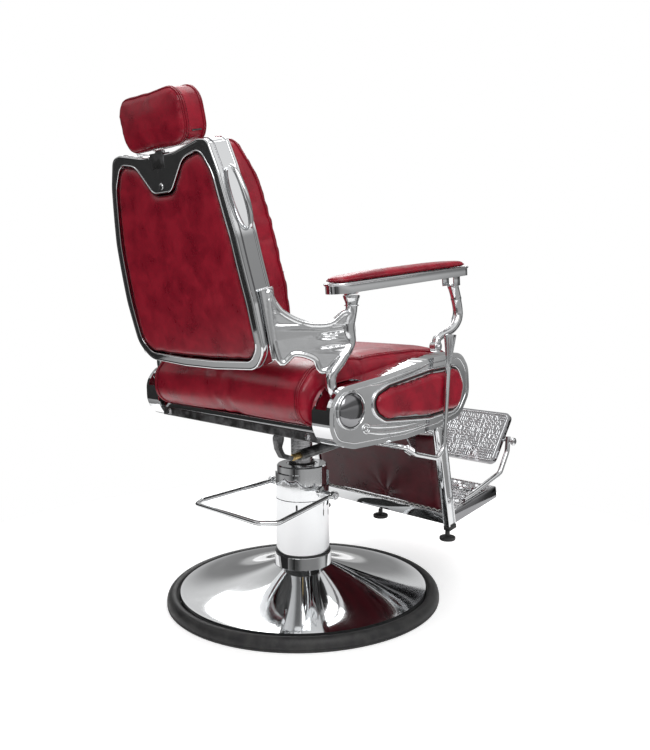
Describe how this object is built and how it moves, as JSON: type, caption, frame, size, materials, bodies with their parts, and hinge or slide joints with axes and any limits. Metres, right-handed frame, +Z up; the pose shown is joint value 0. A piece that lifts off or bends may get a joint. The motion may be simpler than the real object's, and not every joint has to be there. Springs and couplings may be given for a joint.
{
  "type": "hydraulic barber chair",
  "caption": "Hydraulic barber chair on a round base, with a lifting and swivelling seat, reclining back, levelling armrests, sliding headrest and a footrest with a flip-over plate.",
  "frame": {"origin": "centre of the round base on the floor, on the column axis", "axes": "+Z up; the sitter faces -Y; the sitter's right, with the recline lever, is -X"},
  "size_m": [0.743, 1.0905, 1.2132],
  "materials": {
    "chrome": "mirror polished chrome plate",
    "red_leather": "mottled crimson upholstery leather, semi-gloss",
    "black_rubber": "satin moulded rubber",
    "cast_iron": "unpainted underside casting",
    "black_paint": "satin black enamel",
    "brass": "yellow zinc and brass fitting",
    "brushed_steel": "ground steel",
    "plywood": "plain plywood"
  },
  "bodies": {
    "base": {"base_plate": "cast_iron", "base_cover": "chrome", "base_ring": "black_rubber", "pump_cylinder": "brushed_steel", "column_collar": "chrome", "column_sleeve": "chrome", "column_head": "chrome", "column_cap": "chrome"},
    "pump_lever": {"pump_lever": "chrome"},
    "ram": {"piston": "brushed_steel"},
    "seat": {"seat_hub": "black_paint", "seat_frame": "black_paint", "rear_cross_bar": "black_paint", "front_cross_bar": "black_paint", "seat_board": "plywood", "seat_cushion": "red_leather", "hanger_strap": "black_paint", "legrest_axle": "brushed_steel", "side_shell_left": "chrome", "side_shell_right": "chrome", "side_pad_left": "red_leather", "side_pad_right": "red_leather", "pivot_cap_left": "chrome", "pivot_cap_right": "chrome"},
    "recline_lever": {"recline_lever": "chrome"},
    "back": {"back_frame": "chrome", "back_panel": "red_leather", "back_cushion": "red_leather", "headrest_guide": "black_paint", "back_handle_left": "chrome", "back_handle_right": "chrome", "arm_casting_left": "chrome", "arm_casting_right": "chrome"},
    "headrest_bar": {"headrest_bar": "brushed_steel"},
    "headrest": {"headrest_pad": "red_leather"},
    "armrest_left": {"armrest_tray_left": "chrome", "armrest_pad_left": "red_leather"},
    "armrest_right": {"armrest_tray_right": "chrome", "armrest_pad_right": "red_leather"},
    "front_post_left": {"front_post_left": "chrome"},
    "front_post_right": {"front_post_right": "chrome"},
    "legrest": {"legrest_bar_left": "chrome", "legrest_bar_right": "chrome", "legrest_panel": "red_leather", "legrest_strip": "chrome", "legrest_crank": "brushed_steel", "lower_step": "chrome", "bumper_foot_left": "black_rubber", "bumper_foot_middle": "black_rubber", "bumper_foot_right": "black_rubber", "step_arm_left": "chrome", "step_arm_right": "chrome"},
    "footplate": {"footplate": "chrome", "footplate_pad": "red_leather", "plate_knob_left": "chrome", "plate_knob_right": "chrome"},
    "recline_strut": {"recline_cylinder": "black_paint", "cylinder_end": "brass"},
    "recline_rod": {"recline_rod": "brushed_steel"}
  },
  "joints": [
    {"name": "lift", "type": "slide", "parent": "base", "child": "ram", "axis": [0, 0, 1], "range_m": [0, 0.15]},
    {"name": "swivel", "type": "hinge", "parent": "ram", "child": "seat", "pos_m": [0, 0, 0.43], "axis": [0, 0, 1], "continuous": true},
    {"name": "pump", "type": "hinge", "parent": "base", "child": "pump_lever", "pos_m": [0, 0, 0.284], "axis": [-1, 0, 0], "range_deg": [0, 20], "stiffness_Nm_per_rad": 8, "springref_deg": -20.05},
    {"name": "recline", "type": "hinge", "parent": "seat", "child": "back", "pos_m": [0, 0.175, 0.54], "axis": [-1, 0, 0], "range_deg": [0, 33]},
    {"name": "release", "type": "hinge", "parent": "seat", "child": "recline_lever", "pos_m": [-0.2, 0.03, 0.443], "axis": [-1, 0, 0], "range_deg": [0, 14], "stiffness_Nm_per_rad": 6, "springref_deg": -20.05},
    {"name": "headrest_height", "type": "slide", "parent": "back", "child": "headrest_bar", "axis": [0, 0.2113, 0.9774], "range_m": [0, 0.045]},
    {"name": "headrest_tilt", "type": "hinge", "parent": "headrest_bar", "child": "headrest", "pos_m": [0, 0.3955, 1.09072], "axis": [-1, 0, 0], "range_deg": [-4, 28]},
    {"name": "legrest_swing", "type": "hinge", "parent": "seat", "child": "legrest", "pos_m": [0, -0.262, 0.446], "axis": [-1, 0, 0], "range_deg": [0, 50.2]},
    {"name": "footplate_flip", "type": "hinge", "parent": "legrest", "child": "footplate", "pos_m": [0, -0.6, 0.35], "axis": [-1, 0, 0], "range_deg": [-180, 0]},
    {"name": "strut_swing", "type": "hinge", "parent": "seat", "child": "recline_strut", "pos_m": [-0.152, 0.166, 0.41], "axis": [1, 0, 0], "range_deg": [-9, 9]},
    {"name": "strut_extend", "type": "slide", "parent": "recline_strut", "child": "recline_rod", "axis": [0, -0.9954, 0.0963], "range_m": [0, 0.0213]},
    {"name": "armrest_level_left", "type": "hinge", "parent": "back", "child": "armrest_left", "pos_m": [0.33, 0.155, 0.7872], "axis": [1, 0, 0], "range_deg": [0, 29.9]},
    {"name": "post_swing_left", "type": "hinge", "parent": "seat", "child": "front_post_left", "pos_m": [0.33, -0.128, 0.655], "axis": [-1, 0, 0], "range_deg": [0, 49.3]},
    {"name": "armrest_level_right", "type": "hinge", "parent": "back", "child": "armrest_right", "pos_m": [-0.33, 0.155, 0.7872], "axis": [1, 0, 0], "range_deg": [0, 29.9]},
    {"name": "post_swing_right", "type": "hinge", "parent": "seat", "child": "front_post_right", "pos_m": [-0.33, -0.128, 0.655], "axis": [-1, 0, 0], "range_deg": [0, 49.3]}
  ],
  "couplings": [
    {"joint": "legrest_swing", "follows": "recline", "ratio": 1.5152},
    {"joint": "strut_swing", "follows": "recline", "ratio": 0.1981},
    {"joint": "strut_extend", "follows": "recline", "m_per_rad": 0.03182},
    {"joint": "armrest_level_left", "follows": "recline", "ratio": 0.8905},
    {"joint": "post_swing_left", "follows": "recline", "ratio": 1.4776},
    {"joint": "armrest_level_right", "follows": "recline", "ratio": 0.8905},
    {"joint": "post_swing_right", "follows": "recline", "ratio": 1.4776}
  ]
}
